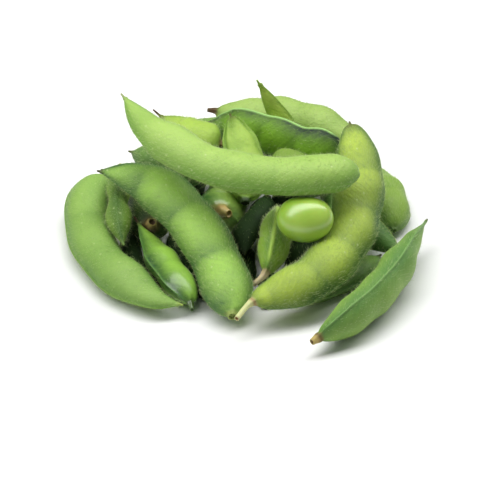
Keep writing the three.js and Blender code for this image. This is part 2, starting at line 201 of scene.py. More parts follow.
def solid_corners(pod):
    """Lowest and highest corner of the pod's plain solid, before it was laid on the heap."""
    length = centre_line(pod["path"])[1][-1]
    _, shoulder, beak, pitch = stretches(pod, length)
    start, end = pod["stalk"] + shoulder, length - pod["awn"] - beak
    count = max(2, round((end - start) / pitch * SOLID_RINGS))
    on_stalk = [pod["stalk"] - CALYX_REACH] if pod["stalk"] > 2 * CALYX_REACH else []
    s = np.concatenate((
        [0, *on_stalk, pod["stalk"]], pod["stalk"] + np.array(SHOULDER_RINGS) * shoulder,
        np.linspace(start, end, count + 1), end + np.array(BEAK_RINGS) * beak,
        [length - pod["awn"], length],
    ))
    turn = 2 * np.pi * np.arange(SOLID_SIDES)[None] / SOLID_SIDES
    grid = skin_points(pod, s, turn)[0].reshape(-1, 3)
    return grid.min(0), grid.max(0)


def where_it_lies(pod, name):
    """How far the pod moved when it was laid: its solid's top and the middle of its outline,
    against those of the same solid unmoved."""
    low, high = solid_corners(pod)
    box_low, box_high = (np.array(corner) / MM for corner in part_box(name))
    middle = (box_low + box_high - low - high) / 2
    return np.array([middle[0], middle[1], box_high[2] - high[2]])


def lumps(points, rng):
    """An uneven swelling from -1 to 1: the mean of sine waves that run in random directions,
    with random lengths, times a little over one."""
    ways = unit(rng.normal(size=(LUMP_WAVES, 3)))
    waves = ways * 2 * np.pi / rng.uniform(*LUMP_LENGTHS, (LUMP_WAVES, 1))
    phase = rng.uniform(0, 2 * np.pi, LUMP_WAVES)
    return np.clip(np.sin(points @ waves.T + phase).mean(-1) * LUMP_GAIN, -1, 1)


def grid_normals(grid):
    """The outward normal at each point of a grid that closes on itself round its second axis:
    the step along it crossed with the step round it."""
    along = np.gradient(grid, axis=0)
    around = np.roll(grid, -1, axis=1) - np.roll(grid, 1, axis=1)
    normal = np.cross(along, around)
    return normal / np.maximum(np.linalg.norm(normal, axis=-1, keepdims=True), 1e-9)


def closed_mesh(name, grid, first, last, marks, uv):
    """A closed surface: the grid's rings joined by four-sided faces, and its first and last
    ring joined to a point. marks are values kept at each point, and uv is the distance along
    and round the skin."""
    rings, sides = grid.shape[:2]
    ring, side = np.meshgrid(np.arange(rings - 1), np.arange(sides), indexing="ij")
    after = (side + 1) % sides
    quads = 1 + np.stack((
        ring * sides + side, (ring + 1) * sides + side,
        (ring + 1) * sides + after, ring * sides + after,
    ), -1).reshape(-1, 4)
    here = np.arange(sides)
    there = (here + 1) % sides
    pole = np.zeros(sides, int)
    end_ring = 1 + (rings - 1) * sides
    caps = np.vstack((
        np.column_stack((pole, 1 + here, 1 + there)),
        np.column_stack((pole + 1 + rings * sides, end_ring + there, end_ring + here)),
    ))
    points = np.vstack((first, grid.reshape(-1, 3), last)) * MM
    mesh = bpy.data.meshes.new(name)
    mesh.from_pydata(points.tolist(), [], quads.tolist() + caps.tolist())
    mesh.polygons.foreach_set("use_smooth", np.ones(len(mesh.polygons), bool))
    for key, values in marks.items():
        at_points = np.concatenate(([values[0].mean()], values.ravel(), [values[-1].mean()]))
        mesh.attributes.new(key, "FLOAT", "POINT").data.foreach_set("value", at_points)
    flat = np.vstack((uv[0].mean(0), uv.reshape(-1, 2), uv[-1].mean(0)))
    corners = np.empty(len(mesh.loops), int)
    mesh.loops.foreach_get("vertex_index", corners)
    mesh.uv_layers.new(name="skin").data.foreach_set("uv", flat[corners].ravel())
    mesh.update()
    return mesh


def show(mesh, name, material, slot, *nodes):
    """Puts a mesh into the scene as a piece of the heap, which stands for the named solids."""
    piece = bpy.data.objects.new(name, mesh)
    bpy.context.scene.collection.objects.link(piece)
    mesh.materials.append(material)
    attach(piece, "root")
    if nodes:
        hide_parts(*nodes)


def paint(red, green, blue):
    """A colour given as 0 to 255 on the screen, as the linear values that a shader takes."""
    share = np.array([red, green, blue]) / 255
    linear = np.where(share > 0.04045, ((share + 0.055) / 1.055) ** 2.4, share / 12.92)
    return (*linear.tolist(), 1.0)


TAN = paint(182, 162, 96)
DRY_BROWN = paint(84, 60, 34)
SPECK_WHITE = paint(208, 224, 160)


def add(tree, kind, sockets=None, **settings):
    """A new node of that kind. Each socket takes a value, or the output that feeds it."""
    made = tree.nodes.new(kind)
    for key, value in settings.items():
        setattr(made, key, value)
    for key, value in (sockets or {}).items():
        if isinstance(value, bpy.types.NodeSocket):
            tree.links.new(value, made.inputs[key])
        else:
            made.inputs[key].default_value = value
    return made


def blended(tree, factor, first, second):
    """The colour that runs from first to second as factor goes from 0 to 1."""
    sockets = {"Factor": factor, 6: first, 7: second}
    return add(tree, "ShaderNodeMix", sockets, data_type="RGBA").outputs[2]


def sum_of(tree, first, second, share=1.0):
    """first + share x second."""
    sockets = {0: second, 1: share, 2: first}
    return add(tree, "ShaderNodeMath", sockets, operation="MULTIPLY_ADD").outputs[0]


def stepped(tree, value, low, high):
    """0 below low, 1 above high, and an even slope between."""
    sockets = {"Value": value, "From Min": low, "From Max": high}
    return add(tree, "ShaderNodeMapRange", sockets).outputs["Result"]


def new_group(name, inputs, outputs):
    """An empty node group with number inputs and outputs, and its two end nodes."""
    group = bpy.data.node_groups.new(name, "ShaderNodeTree")
    for label, value in inputs.items():
        group.interface.new_socket(label, in_out="INPUT", socket_type="NodeSocketFloat")
        group.interface.items_tree[label].default_value = value
    for label in outputs:
        group.interface.new_socket(label, in_out="OUTPUT", socket_type="NodeSocketFloat")
    return group, add(group, "NodeGroupInput"), add(group, "NodeGroupOutput")


# The mottling of living skin: broad soft patches, fine grain, and small pale specks, each
# from 0 to 1. They lie still in the object, because they are worked out from its own place.
PATCH_SCALE, GRAIN_SCALE, SPECK_SCALE = 90.0, 1300.0, 620.0    # features in a metre
PATCH_RANGE = (0.32, 0.68)     # the stretch of the noise that is spread over 0 to 1
SPECK_EDGE = (0.22, 0.08)      # from a speck's rim to its full colour, as shares of its cell
SPECKS_KEPT = (0.78, 0.86)     # only cells whose random number is past this have a speck
mottling, into, out_of = new_group(
    "mottling", {"Patch Scale": PATCH_SCALE}, ("Patches", "Grain", "Specks"))
place = add(mottling, "ShaderNodeTexCoord").outputs["Object"]
patches = add(mottling, "ShaderNodeTexNoise", {
    "Vector": place, "Scale": into.outputs["Patch Scale"], "Detail": 2.0, "Roughness": 0.55})
grain = add(mottling, "ShaderNodeTexNoise", {
    "Vector": place, "Scale": GRAIN_SCALE, "Detail": 2.0, "Roughness": 0.6})
dots = add(mottling, "ShaderNodeTexVoronoi", {"Vector": place, "Scale": SPECK_SCALE})
chosen = add(mottling, "ShaderNodeSeparateColor", {"Color": dots.outputs["Color"]}).outputs[0]
near_dot = stepped(mottling, dots.outputs["Distance"], *SPECK_EDGE)
kept = stepped(mottling, chosen, *SPECKS_KEPT)
specks = add(mottling, "ShaderNodeMath", {0: near_dot, 1: kept}, operation="MULTIPLY")
mottling.links.new(
    stepped(mottling, patches.outputs["Fac"], *PATCH_RANGE), out_of.inputs["Patches"])
mottling.links.new(grain.outputs["Fac"], out_of.inputs["Grain"])
mottling.links.new(specks.outputs[0], out_of.inputs["Specks"])

# The slanting fibres of a pod's wall, as fine streaks from 0 to 1. They follow the skin's own
# distances in millimetres, and run across it at a slant from one seam to the other.
FIBRE_SLANT = np.radians(52)
FIBRE_WIDTH, FIBRE_LENGTH = 0.9, 6.5
FIBRE_RANGE = (0.3, 0.7)
fibres, into, out_of = new_group("fibres", {"Scale": 1.0}, ("Streaks",))
skin_place = add(fibres, "ShaderNodeUVMap", uv_map="skin").outputs["UV"]
slanted = add(fibres, "ShaderNodeMapping", {
    "Vector": skin_place, "Rotation": (0, 0, FIBRE_SLANT),
    "Scale": (FIBRE_LENGTH, FIBRE_WIDTH, 1.0)}, vector_type="TEXTURE")
streaks = add(fibres, "ShaderNodeTexNoise", {
    "Vector": slanted.outputs["Vector"], "Scale": into.outputs["Scale"], "Detail": 3.0,
    "Roughness": 0.6, "Distortion": 0.6})
fibres.links.new(
    stepped(fibres, streaks.outputs["Fac"], *FIBRE_RANGE), out_of.inputs["Streaks"])

# What decides between a skin's light and its deep colour: the mark for the bulge of the beans,
# which holds painted shade in the creases and at the edges and painted light on pleat tops,
# plus these shares of the patches, the grain and the streaks. A range is where one colour
# passes into the next. A moist skin is smoother, by its gloss times the second number of a pair.
PATCH_SHARE, GRAIN_SHARE, STREAK_SHARE = 0.4, 0.35, 0.18
TONE_RANGE = (0.3, 1.5)
SEAM_RANGE = (0.35, 0.95)
FIBRE_RELIEF = 0.5             # the streaks' share of the relief, next to the grain
SKIN_RELIEF = 0.00022          # its height in metres
RELIEF_STRENGTH = (0.55, 0.3)
SMOOTHEST, ROUGHEST = (0.5, 0.27), (0.68, 0.34)


def pod_finish(name, light, deep, seam, gloss=0.0, specks=0.5, bloom=1.0, stalk=TAN,
               ring=DRY_BROWN, awn=DRY_BROWN):
    """Living pod skin. light is its colour over the beans and deep its colour between them and
    at its edges, and seam, stalk, ring and awn are the colours of those parts. The change from
    deep to light is partly the skin's own tone and partly painted light and shade: lighter over
    the beans and on pleat tops, darker in the creases and along the edges. ring is also the
    colour of the cut. A velvety pod has a sheen, and gloss from 0 to 1 turns that into a moist
    shine. bloom scales all that the skin throws back at a slant."""
    material = bpy.data.materials.new(name)
    material.use_nodes = True
    tree = material.node_tree
    tree.nodes.clear()

    def mark(key):
        return add(tree, "ShaderNodeAttribute", attribute_name=key).outputs["Fac"]

    def group(kind):
        made = tree.nodes.new("ShaderNodeGroup")
        made.node_tree = kind
        return made

    mottle, fibre = group(mottling), group(fibres)
    # The first mark is lighter over the beans and on pleat tops and darker in the creases and at
    # the edges: the skin's own tone with painted light and shade.
    bulge_and_shading, on_seam, on_stalk, on_awn = (mark(key) for key in ("bulge_and_shading", "seam", "stalk", "awn"))
    patchy = sum_of(tree, bulge_and_shading, mottle.outputs["Patches"], PATCH_SHARE)
    patchy = sum_of(tree, patchy, mottle.outputs["Grain"], GRAIN_SHARE)
    patchy = sum_of(tree, patchy, fibre.outputs["Streaks"], STREAK_SHARE)
    colour = blended(tree, stepped(tree, patchy, *TONE_RANGE), deep, light)
    speckled = add(tree, "ShaderNodeMath", {0: mottle.outputs["Specks"], 1: specks},
                   operation="MULTIPLY").outputs[0]
    colour = blended(tree, speckled, colour, SPECK_WHITE)
    colour = blended(tree, stepped(tree, on_seam, *SEAM_RANGE), colour, seam)
    colour = blended(tree, on_stalk, colour, stalk)
    colour = blended(tree, mark("ring"), colour, ring)
    colour = blended(tree, mark("cut"), colour, ring)
    colour = blended(tree, on_awn, colour, awn)
    height = sum_of(tree, mottle.outputs["Grain"], fibre.outputs["Streaks"], FIBRE_RELIEF)
    strength, smoothest, roughest = (
        dry - fall * gloss for dry, fall in (RELIEF_STRENGTH, SMOOTHEST, ROUGHEST))
    bump = add(tree, "ShaderNodeBump", {
        "Height": height, "Strength": strength, "Distance": SKIN_RELIEF})
    rough = add(tree, "ShaderNodeMapRange", {
        "Value": mottle.outputs["Grain"], "To Min": smoothest, "To Max": roughest})
    shader = add(tree, "ShaderNodeBsdfPrincipled", {
        "Base Color": colour, "Roughness": rough.outputs["Result"],
        "Normal": bump.outputs["Normal"], "Specular IOR Level": 0.4 * bloom,
        "Subsurface Weight": 0.12, "Subsurface Scale": 0.0012,
        "Subsurface Radius": (0.6, 1.0, 0.25), "Sheen Weight": 0.1 * bloom * (1 - gloss),
        "Sheen Roughness": 0.45, "Sheen Tint": paint(190, 226, 140),
        "Coat Weight": 0.55 * gloss, "Coat Roughness": 0.16})
    end = add(tree, "ShaderNodeOutputMaterial")
    tree.links.new(shader.outputs["BSDF"], end.inputs["Surface"])
    return material


# The hairs on a pod: stiff, pale and about a millimetre long. Each is a sliver with three
# corners at its root, sunk in the skin, and one at its tip, and leans towards the awn.
HAIR_LENGTHS = (0.45, 1.25)
HAIR_RADIUS = 0.025
HAIR_ROOT = 0.08          # how deep it starts below the skin
HAIR_LEAN = (18, 68)      # degrees from the skin's normal
HAIR_SWAY = 0.5           # how far to either side of the awn's way it may lean, as a slope
SEAM_HAIRS = 2            # how many times more of them stand on a seam, beside the usual ones
HAIRS_PER_MM2 = 2.4
HAIR_TONE_SCALE = 900.0   # changes of tone in a metre
NOT_ALONG = 0.01          # keeps a hair that stands straight up from having no side
hair_finish = bpy.data.materials.new("pod_hair")
hair_finish.use_nodes = True
hair_shader = hair_finish.node_tree.nodes["Principled BSDF"]
hair_tone = add(hair_finish.node_tree, "ShaderNodeTexNoise", {
    "Vector": add(hair_finish.node_tree, "ShaderNodeTexCoord").outputs["Object"],
    "Scale": HAIR_TONE_SCALE})
hair_colour = blended(
    hair_finish.node_tree, hair_tone.outputs["Fac"], paint(168, 190, 112), paint(214, 224, 168))
hair_finish.node_tree.links.new(hair_colour, hair_shader.inputs["Base Color"])
hair_shader.inputs["Roughness"].default_value = 0.4


def hair_mesh(name, grid, normal, along, density, seam, rng):
    """Hairs at random places on a grid of skin, density of them to a square millimetre, and
    more at the seams. A cell's share of them is its area, and a root lies in its cell by two
    random shares. Hairs that would leave the box of the heap are left out."""
    sides = grid.shape[1]
    a, b = grid[:-1], grid[1:]
    cell_area = np.linalg.norm(
        np.cross(b - a, np.roll(a, -1, axis=1) - a), axis=-1) * (1 + SEAM_HAIRS * seam[:-1])
    count = int(cell_area.sum() * density)
    cell = rng.choice(cell_area.size, count, p=cell_area.ravel() / cell_area.sum())
    ring, side = np.divmod(cell, sides)
    up, over = rng.random((2, count, 1))

    def at(values):
        after = (side + 1) % sides
        low = values[ring, side] * (1 - over) + values[ring, after] * over
        high = values[ring + 1, side] * (1 - over) + values[ring + 1, after] * over
        return low * (1 - up) + high * up

    outward = unit(at(normal))
    forward = np.broadcast_to(along[:, None], grid.shape)[ring, side]
    sideways = np.cross(outward, forward) * rng.uniform(-HAIR_SWAY, HAIR_SWAY, (count, 1))
    lean = np.radians(rng.uniform(*HAIR_LEAN, (count, 1)))
    way = unit(outward * np.cos(lean) + unit(forward + sideways) * np.sin(lean))
    length = rng.uniform(*HAIR_LENGTHS, (count, 1))
    root = at(grid) - outward * HAIR_ROOT
    tip = root + way * (length + HAIR_ROOT)
    inside = ((tip > BOX_LOW) & (tip < BOX_HIGH)).all(-1)
    root, tip, way, outward = (v[inside] for v in (root, tip, way, outward))
    wide = unit(np.cross(way, outward + NOT_ALONG))
    deep = np.cross(way, wide)
    foot = [root + HAIR_RADIUS * (wide * np.cos(t) + deep * np.sin(t))
            for t in 2 * np.pi * np.arange(3) / 3]
    points = np.stack((*foot, tip), 1).reshape(-1, 3) * MM
    sliver = np.array([[0, 2, 1], [0, 1, 3], [1, 2, 3], [2, 0, 3]])
    faces = (4 * np.arange(len(root))[:, None, None] + sliver).reshape(-1, 3)
    mesh = bpy.data.meshes.new(name)
    mesh.from_pydata(points.tolist(), [], faces.tolist())
    return mesh


EXTRA_RINGS = 24          # added to a pod's rings for its two ends
BODY_FADE = 3             # how far from the calyx and the awn the body's own marks fade in
STALK_FADE, AWN_FADE = 1.2, 2.4     # over what length the colours of the stalk and awn end
RING_SHARE, RING_PLACE, RING_SPREAD = 0.75, 0.3, 0.55   # it lies on the stalk's side of the calyx
CUT_FADE, CUT_START = 4, 0.6        # how fast the cut's colour comes in from the stalk's rim
BACK_SEAM_SHADE = 0.45              # how much of the seam's colour the back seam has
PLEAT_SKEW = 0.9          # how unevenly the pleats lie round the pod, in radians
PLEAT_SHADE = 0.3         # how much lighter the skin is on top of a pleat, and darker in its folds: painted light and shade
FIRST_SEED = 11
placed = []


def grow_pod(name, finish, path, face, beans=3, width=11.8, thickness=9.1, stalk=2.4, awn=2.8,
             shoulder=0.15, beak=0.27, wave=FACE_WAVE, stem=1.0, bluntness=1.0, ridge=1.0,
             crease_shading=0.5, shading_side=-1, hair=1.0, pleats=0, slot="pod_skin"):
    """One whole pod where its solid lies: skin with lumps, pleats and flat spots where it is
    pressed, the marks that its finish reads, and its hairs. ridge scales how broad its seams
    are, the next argument how dark the painted shade in its creases is, the one after it at
    which seam that shade is darkest (1 is the one that splits open), and hair how dense its
    hairs are. Each pleat is the height of a folded sine wave round the pod, which fades from the
    awn by a bell curve, and its top is painted lighter and its fold darker: painted light and
    shade."""
    pod = {"path": path, "face": face, "beans": beans, "width": width, "thickness": thickness,
           "stalk": stalk, "awn": awn, "shoulder": shoulder, "beak": beak, "wave": wave,
           "stem": stem, "bluntness": bluntness, "ridge": ridge, "crease_shading": crease_shading,
           "shading_side": shading_side}
    rng = np.random.default_rng(len(placed) + FIRST_SEED)
    placed.append(name)
    length = centre_line(path)[1][-1]
    body = length - stalk - awn
    # Rings lie closer together on the stalk, at the start of the shoulder and on the awn.
    even = np.linspace(0, 1, int(length / RING_GAP) + EXTRA_RINGS)
    crowded = [0, stalk, stalk + 0.08 * body, length - awn - 0.05 * body, length - awn, length]
    s = np.interp(even, [0, 0.06, 0.17, 0.88, 0.94, 1], crowded)
    cut_depths, cut_shares = (np.array(v) for v in zip(*CUT_RINGS))
    s = np.concatenate((cut_depths, s[1:]))
    cut = np.concatenate((cut_shares, np.ones(len(s) - len(cut_shares))))[:, None]
    around = 2 * np.pi * np.arange(SIDES) / SIDES
    turn = (around - SEAM_CROWD * np.sin(2 * around))[None]
    grid, along, marks = skin_points(pod, s, turn, cut)
    normal = grid_normals(grid)
    on_body = (np.clip(marks["past_calyx"] / BODY_FADE, 0, 1)
               * np.clip(marks["to_awn"] / BODY_FADE, 0, 1))
    swell = LUMP_HEIGHT * lumps(grid, rng) * on_body * (1 - marks["seam"])
    near_calyx = np.exp(-(marks["past_calyx"] / CALYX_REACH) ** 2)
    swell = swell + LOBE_DEPTH * near_calyx * np.cos(CALYX_LOBES * turn)
    pleat = np.zeros_like(on_body)
    if pleats:
        pleat = 2 * np.abs(np.sin(pleats * turn / 2 + PLEAT_SKEW * np.sin(2 * turn))) - 1
        pleat = pleat * np.exp(-(marks["to_awn"] / PLEAT_REACH) ** 2) * on_body
    swell = swell + PLEAT_HEIGHT * pleat
    grid = grid + normal * swell[..., None] + where_it_lies(pod, name)
    grid = np.clip(grid, BOX_LOW, BOX_HIGH)
    # The first mark is lighter over beans and pleat tops and darker at creases and seams, partly
    # the skin's own tone and partly painted light and shade.
    shown = {
        "bulge_and_shading": marks["bulge_and_shading"] * np.sqrt(on_body) + PLEAT_SHADE * pleat,
        "seam": marks["seam"] * on_body * (
            BACK_SEAM_SHADE + (1 - BACK_SEAM_SHADE) * marks["front"]),
        "stalk": np.clip(0.5 - marks["past_calyx"] / STALK_FADE, 0, 1),
        "ring": RING_SHARE * np.exp(-((marks["past_calyx"] + RING_PLACE) / RING_SPREAD) ** 2),
        "awn": np.clip(0.5 - marks["to_awn"] / AWN_FADE, 0, 1),
        "cut": np.clip(marks["cut"] * CUT_FADE - CUT_START, 0, 1),
    }
    round_skin = np.broadcast_to(turn * width / 2, grid.shape[:2])
    uv = np.stack((np.broadcast_to(s[:, None], grid.shape[:2]), round_skin), -1)
    first, last = grid[0].mean(0), grid[-1].mean(0)
    skin = closed_mesh(name, grid, first, last, shown, uv)
    show(skin, name + "_skin", finish, slot, name)
    if hair:
        hairy = (s > stalk + 0.5) & (s < length - awn)
        coat = hair_mesh(name + "_hairs", grid[hairy], grid_normals(grid)[hairy], along[hairy],
                         HAIRS_PER_MM2 * hair, marks["seam"][hairy], rng)
        show(coat, name + "_hairs", hair_finish, slot)


# The lowest pods' skin is near black: painted shade for the deep gaps between the pods above,
# where the table would show.
BASE_SHADE_FINISH = pod_finish(
    "shade_dark_skin", paint(36, 56, 26), paint(18, 30, 16), paint(44, 66, 30),
    specks=0.0, bloom=0.2, stalk=paint(60, 66, 34), ring=paint(40, 40, 24), awn=paint(48, 54, 28))
LOW_FINISH = pod_finish(
    "mid_green_skin", paint(110, 148, 62), paint(64, 100, 46), paint(112, 150, 78))

grow_pod("pod_base_middle", BASE_SHADE_FINISH, (
    (-2.2, -19.5, 2.5), (-1.1, -12, 2.5), (-1.5, -4, 2.5), (0, 4, 2),
), face=(0, 0, 1), beans=2, width=8.2, thickness=4.8, hair=0.2)

grow_pod("pod_base_right", LOW_FINISH, (
    (9.5, -22.5, 3.5), (18, -20.5, 3.5), (26.5, -14.5, 3.5), (34, -5.5, 3),
), face=(0, 0, 1), beans=2, width=9.5, thickness=6.6, awn=0.9, hair=0.5)

grow_pod("pod_base_left", BASE_SHADE_FINISH, (
    (-19.8, -21.5, 2), (-24.4, -13.7, 2), (-27.2, -5.5, 2), (-28.2, 2, 2), (-28.5, 9, 2),
), face=(0, 0, 1), beans=2, width=4.8, thickness=3, stalk=0.9, awn=0.9, hair=0.2)

grow_pod("pod_base_front_left", BASE_SHADE_FINISH, (
    (-7.5, -24, 2), (-10.5, -15, 2), (-13.7, -7, 2), (-16.5, 0, 2), (-18.2, 6.5, 2),
), face=(0, 0, 1), beans=2, width=5.7, thickness=3.2, stalk=0.9, awn=0.9, hair=0.2)

grow_pod("pod_base_front", BASE_SHADE_FINISH, (
    (5.4, -26, 2), (5.9, -21.5, 2), (6.4, -15.5, 2), (6.6, -10, 2),
), face=(0, 0, 1), beans=2, width=5, thickness=3, stalk=0.9, awn=0.9, hair=0.2)

grow_pod("pod_base_middle_right", BASE_SHADE_FINISH, (
    (14, -15, 3), (15, -6.5, 3), (15, 1, 3), (15.5, 7.5, 3),
), face=(0, 0, 1), beans=2, width=8.5, thickness=6.1, stalk=0.9, awn=0.9, hair=0.2)

grow_pod("pod_base_middle_small", BASE_SHADE_FINISH, (
    (5.5, -6.5, 2.5), (6.5, 0, 2.5), (6, 7.5, 2.5), (5.5, 15, 2.5),
), face=(0, 0, 1), beans=2, width=6.2, thickness=4.8, stalk=0.9, awn=0.9, beak=0.35, hair=0.2)

grow_pod("pod_base_left_back", BASE_SHADE_FINISH, (
    (-14, 13.5, 5), (-13.6, 21, 5), (-12.2, 28.5, 5), (-11.6, 36, 5),
), face=(0, 0, 1), beans=2, width=7.4, hair=0.2)

grow_pod("pod_base_right_back", BASE_SHADE_FINISH, (
    (11, 10.5, 5), (12.5, 19, 5), (12, 26.5, 5), (11, 33, 5),
), face=(0, 0, 1), beans=2, width=9.9, hair=0.2)

grow_pod("pod_base_back", LOW_FINISH, (
    (-21, 42, 4), (-9.5, 47.5, 4), (4, 49.5, 4), (17, 47, 4), (28.5, 42, 4),
), face=(0, 0, 1), thickness=7.4, hair=0.5)

grow_pod("pod_inner_middle", BASE_SHADE_FINISH, (
    (6, 13, 7), (4.8, 7, 7), (1.8, 1, 7), (0.3, -5, 7.2), (0.5, -12.5, 7),
), face=(0, 0, 1), beans=2, width=6, thickness=5, stalk=0.9, awn=0.9, hair=0.2)


# ---- the pods that lie low, half under others ----
# Full pods that show only an end or an edge: deep green at the sides of the heap, olive at its
# left and yellow-green in its middle. They rest on the lowest pods and the table.

UNDER_FINISH = pod_finish(
    "shaded_skin", paint(84, 114, 48), paint(40, 64, 30), paint(76, 106, 50))
INNER_FINISH = pod_finish(
    "olive_skin", paint(122, 154, 60), paint(72, 106, 46), paint(96, 130, 56),
    ring=paint(90, 110, 50), awn=paint(120, 144, 70))
SIDE_FINISH = pod_finish(
    "right_back_skin", paint(134, 168, 66), paint(74, 112, 50), paint(92, 134, 62), specks=0.2,
    stalk=paint(92, 120, 56), ring=paint(92, 120, 56))
RIM_FINISH = pod_finish(
    "right_low_skin", paint(92, 136, 58), paint(46, 80, 38), paint(164, 200, 92))
MIDDLE_FINISH = pod_finish(
    "back_middle_skin", paint(118, 148, 54), paint(80, 112, 40), paint(120, 152, 66))

grow_pod("pod_left_under", UNDER_FINISH, (
    (-22.3, 0.9, 8.3), (-22.8, 2.2, 6.4), (-22.8, 6, 5), (-23.7, 14, 5), (-24.3, 23, 5),
    (-23.5, 34, 5),
), face=(-0.3, 0, 1), beans=2, width=10.8, stem=1.3, stalk=2, shoulder=0.1)

grow_pod("pod_right_low", RIM_FINISH, (
    (23.5, 30.5, 5), (24, 21, 5), (24, 11, 5), (26, 4, 5.6), (31, -0.8, 6.3), (36, -4.5, 5.2),
    (39.5, -6.5, 4),
), face=(0, 0.4, -0.9), width=9.6, awn=0.9)

grow_pod("pod_right_back", SIDE_FINISH, (
    (37.5, 4.5, 4), (36.5, 12.5, 5.5), (35, 21.5, 5.5), (32.5, 30, 5.5), (30.5, 36, 5.5),
), face=(0.4, -0.2, 1), beans=2, width=10.4, stalk=0.5, stem=0.6, shoulder=0.3, beak=0.5)

grow_pod("pod_left_inner", INNER_FINISH, (
    (-30.5, 21, 9.5), (-30.5, 12, 9), (-30.7, 4, 8.5), (-30.2, -4, 7.5), (-29.2, -10, 6.5),
), face=(-1, -0.1, -0.2), beans=2, width=5.6, thickness=6.6, wave=0.3, awn=0.6, beak=0.2)

grow_pod("pod_left_tip", LOW_FINISH, (
    (-7, 13.5, 14), (-13, 16.5, 14), (-20.5, 20, 14), (-28.5, 24, 14),
), face=(0, 0, 1), beans=2, width=10.4, awn=0.9)

grow_pod("pod_back_middle", MIDDLE_FINISH, (
    (6.5, 19.5, 14.5), (11.5, 16.8, 15), (17, 12, 13.5), (21.5, 8, 13),
), face=(0, 0, 1), beans=1, width=9.7, thickness=9.1, stalk=0.9, awn=0.9)


# ---- the two moist pods ----
# Smoother, darker pods with few hairs, on which the light makes clear highlights. One points
# its cut stalk at the viewer from under the top pod, and one lies in the gap at the front left.

# The end-on pod's light colour is lighter than its own: painted light on its top, which lies in
# the top pod's shadow.
MOIST_LIT_FINISH = pod_finish(
    "moist_lit_skin", paint(176, 212, 96), paint(70, 112, 50), paint(176, 208, 104),
    gloss=0.8, specks=0.1, stalk=paint(196, 172, 108), ring=paint(168, 138, 84))
GLOSSY_FINISH = pod_finish(
    "glossy_skin", paint(150, 196, 76), paint(44, 84, 38), paint(92, 136, 60),
    gloss=0.8, specks=0.1, stalk=paint(70, 96, 40), ring=paint(60, 80, 36))

grow_pod("pod_middle_end_on", MOIST_LIT_FINISH, (
    (-3.4, 2.4, 9.6), (-5.2, 4.6, 9), (-5.2, 8.5, 6.4), (-3.4, 15, 5.6), (-1.3, 24.5, 5),
    (-1, 33, 5),
), face=(0.5, 0, 1), beans=2, width=12.2, thickness=10, stem=1.3, stalk=2.8, hair=0.1,
    slot="pod_skin_glossy")

grow_pod("pod_front_glossy", GLOSSY_FINISH, (
    (-12.2, -30.6, 3), (-13.4, -26, 4), (-15.8, -21, 4.6), (-18.8, -15, 5), (-21.8, -7, 5.5),
    (-26.8, 3, 7.8),
), face=(-0.4, -0.1, -0.9), beans=2, width=8.9, thickness=7.8, stem=0.6, shoulder=0.3, beak=0.45,
    hair=0.1, slot="pod_skin_glossy")


# ---- the large pods in view ----
# Well-filled velvety pods of three or four beans: one across the top, one bent down each side,
# one to the front left, and one on its edge at the front right, with its seam uppermost.

# The deep colours here are partly painted shade, darkest in the strong creases of pod_front_left
# and pod_right_long.
TOP_FINISH = pod_finish(
    "top_skin", paint(162, 194, 96), paint(110, 152, 58), paint(92, 134, 66),
    stalk=paint(118, 160, 62), ring=paint(118, 160, 62), awn=paint(150, 160, 104))
FRONT_FINISH = pod_finish(
    "front_left_skin", paint(156, 198, 86), paint(52, 92, 46), paint(96, 146, 84),
    stalk=paint(150, 168, 84), ring=paint(128, 142, 70))
LONG_FINISH = pod_finish(
    "long_skin", paint(164, 188, 68), paint(58, 96, 44), paint(76, 112, 52),
    stalk=paint(206, 208, 148), ring=paint(150, 104, 70))
CURVED_FINISH = pod_finish(
    "curved_skin", paint(140, 176, 84), paint(92, 132, 54), paint(116, 154, 60), specks=0.3,
    awn=paint(176, 196, 96))
ON_EDGE_FINISH = pod_finish(
    "front_right_skin", paint(128, 164, 70), paint(82, 124, 56), paint(118, 158, 86), specks=0.25)

grow_pod("pod_left_curved", CURVED_FINISH, (
    (-33.5, 22.5, 8.5), (-37.5, 16, 6.5), (-38.5, 6.5, 5.5), (-37, -3, 5), (-33.5, -12.5, 5),
    (-28, -20.5, 5), (-21.5, -27.5, 5), (-14.5, -29.5, 4.5),
), face=(0, -0.3, 0.9), width=11.2, awn=0.9, stalk=1.4, hair=0.8)

grow_pod("pod_front_left", FRONT_FINISH, (
    (-2.5, -35, 5), (-3, -31, 5.5), (-4.5, -23.5, 7.5), (-8, -14, 10.5), (-12.5, -6.5, 13.5),
    (-20, 3, 16), (-27.5, 6.5, 18), (-36, 8, 19),
), face=(0, -0.55, 0.85), width=12.3, wave=BUMPY_WAVE, stalk=0.9, awn=0.9, crease_shading=0.9)

grow_pod("pod_front_right", ON_EDGE_FINISH, (
    (16.5, -45.8, 3.2), (20.3, -42.8, 4), (25.6, -37.6, 4.7), (31.6, -29.6, 5.3),
    (36.6, -20.1, 5.8), (40.6, -8.9, 6), (45.4, 3.2, 6),
), face=(-0.72, 0.59, 0.33), awn=0.9, shoulder=0.3, beak=0.4, hair=0.3)

grow_pod("pod_right_long", LONG_FINISH, (
    (-1.5, -40, 7), (2, -34, 7.5), (8.5, -30.5, 8), (16.5, -26.5, 9.5), (22, -20, 11),
    (26, -12, 13), (28, -2.5, 15.5), (28.5, 5, 19), (27.6, 13, 23), (26.3, 17.8, 26.3),
), face=(0, -0.4, 0.9), beans=4, width=12.3, wave=BUMPY_WAVE, stalk=7.6, stem=0.85, awn=0.8,
    shoulder=0.27, beak=0.28, bluntness=2.2, crease_shading=0.6, shading_side=1, hair=1.4)

